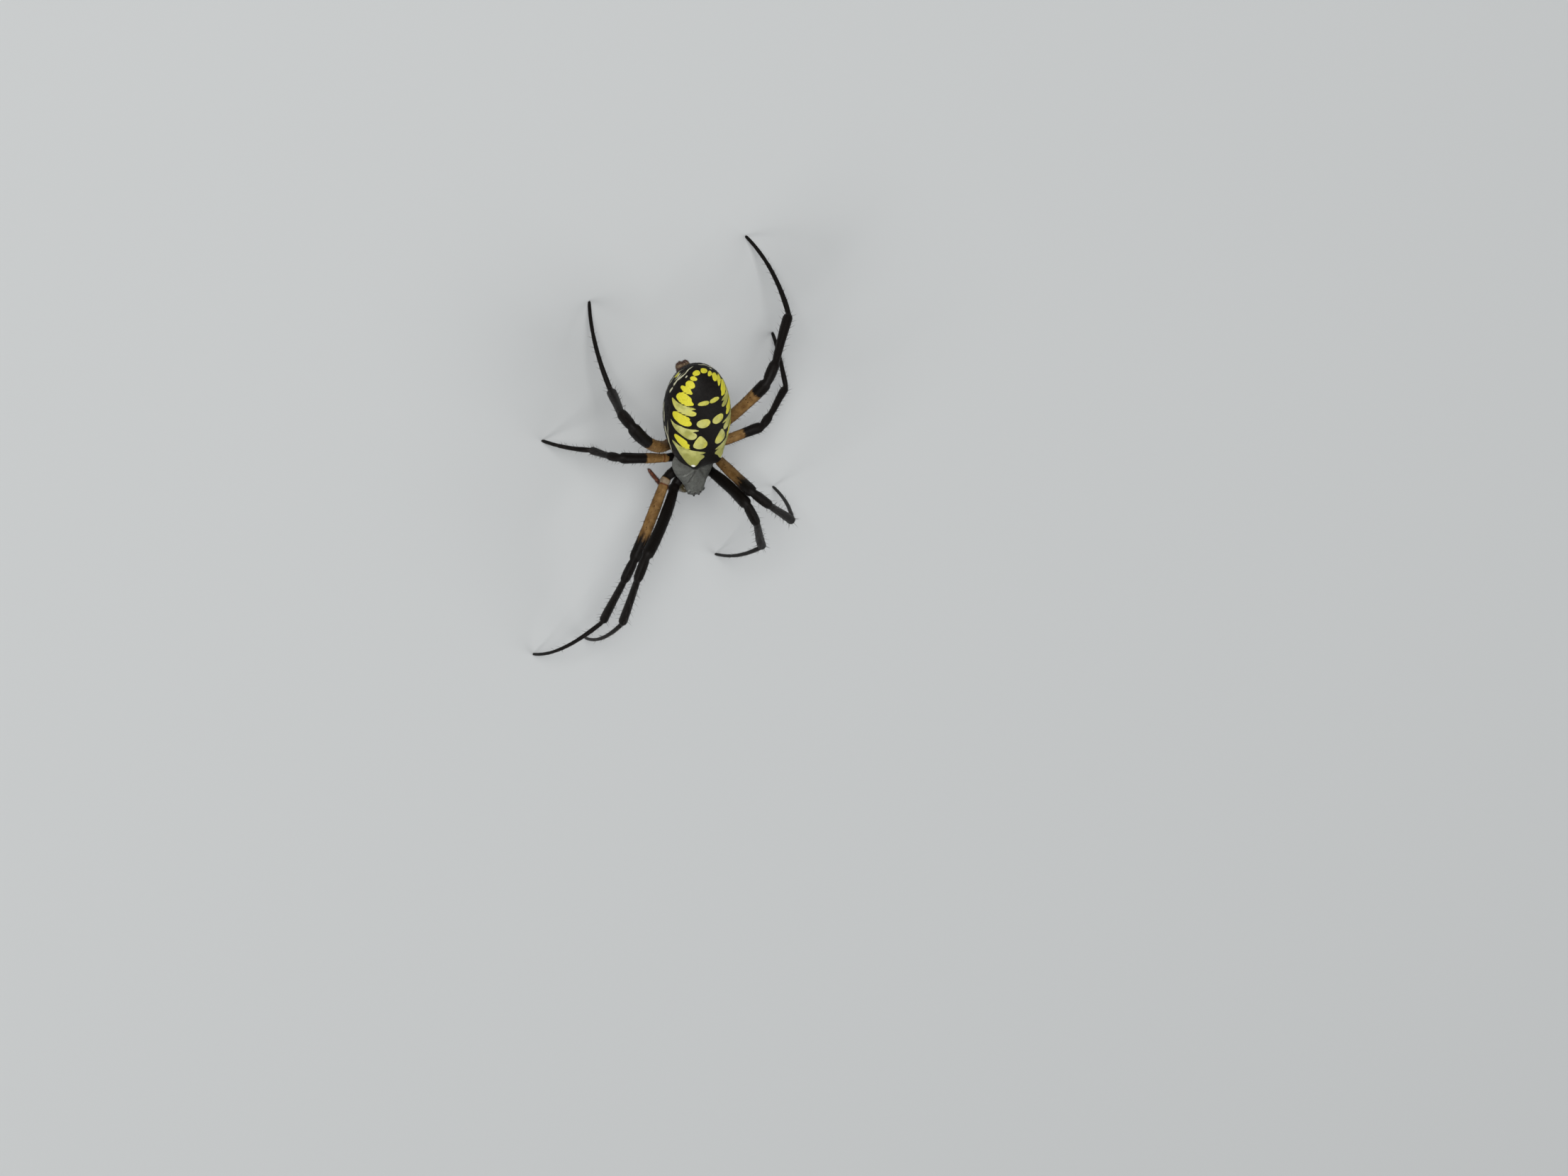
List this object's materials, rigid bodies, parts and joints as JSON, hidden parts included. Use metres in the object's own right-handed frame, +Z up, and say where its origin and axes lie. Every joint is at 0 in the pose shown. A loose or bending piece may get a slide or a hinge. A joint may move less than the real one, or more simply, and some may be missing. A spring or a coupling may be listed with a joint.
{
  "type": "garden spider",
  "caption": "Garden spider with a yellow and black patterned egg-shaped abdomen, silver-haired head and long jointed legs, standing on its feet.",
  "frame": {"origin": "on the floor, under the middle of the whole animal seen from above", "axes": "+Z up from the floor, -Y the way the head faces, +X to the spider's own left"},
  "size_m": [0.0385, 0.0566, 0.0222],
  "materials": {
    "abdomen_yellow_black": "satin cuticle, yellow and pale patches on brown-black, short fine hairs",
    "carapace_silver": "short dense silver-grey hairs over dark cuticle",
    "underside_brown": "satin dark brown cuticle with a pale middle mark",
    "jaw_olive": "glossy olive-brown cuticle with sparse hairs",
    "palp_brown": "glossy red-brown cuticle with dark bristles",
    "spinneret_tan": "satin brown with tan bands",
    "eye_black": "high gloss black",
    "hip_black": "satin brown-black cuticle",
    "femur_black": "satin brown-black cuticle with short hairs and spines",
    "femur_orange": "satin orange-brown, turning black towards the knee",
    "shin_black": "satin black cuticle with short hairs and spines",
    "foot_black": "satin black cuticle with short dense hairs"
  },
  "bodies": {
    "root": {"abdomen": "abdomen_yellow_black", "carapace": "carapace_silver", "chelicera_left": "jaw_olive", "chelicera_right": "jaw_olive", "eye_front_middle_left": "eye_black", "eye_front_middle_right": "eye_black", "eye_front_side_left": "eye_black", "eye_front_side_right": "eye_black", "eye_rear_middle_left": "eye_black", "eye_rear_middle_right": "eye_black", "eye_rear_side_left": "eye_black", "eye_rear_side_right": "eye_black", "leg_1_left_coxa": "hip_black", "leg_1_left_femur": "femur_black", "leg_1_left_foot": "foot_black", "leg_1_left_patella": "shin_black", "leg_1_left_tibia": "shin_black", "leg_1_right_coxa": "hip_black", "leg_1_right_femur": "femur_black", "leg_1_right_foot": "foot_black", "leg_1_right_patella": "shin_black", "leg_1_right_tibia": "shin_black", "leg_2_left_coxa": "hip_black", "leg_2_left_femur": "femur_orange", "leg_2_left_foot": "foot_black", "leg_2_left_patella": "shin_black", "leg_2_left_tibia": "shin_black", "leg_2_right_coxa": "hip_black", "leg_2_right_femur": "femur_orange", "leg_2_right_foot": "foot_black", "leg_2_right_patella": "shin_black", "leg_2_right_tibia": "shin_black", "leg_3_left_coxa": "hip_black", "leg_3_left_femur": "femur_orange", "leg_3_left_foot": "foot_black", "leg_3_left_patella": "shin_black", "leg_3_left_tibia": "shin_black", "leg_3_right_coxa": "hip_black", "leg_3_right_femur": "femur_orange", "leg_3_right_foot": "foot_black", "leg_3_right_patella": "shin_black", "leg_3_right_tibia": "shin_black", "leg_4_left_coxa": "hip_black", "leg_4_left_femur": "femur_orange", "leg_4_left_foot": "foot_black", "leg_4_left_patella": "shin_black", "leg_4_left_tibia": "shin_black", "leg_4_right_coxa": "hip_black", "leg_4_right_femur": "femur_orange", "leg_4_right_foot": "foot_black", "leg_4_right_patella": "shin_black", "leg_4_right_tibia": "shin_black", "palp_left": "palp_brown", "palp_right": "palp_brown", "pedicel": "underside_brown", "spinnerets": "spinneret_tan", "sternum": "underside_brown"}
  },
  "joints": []
}
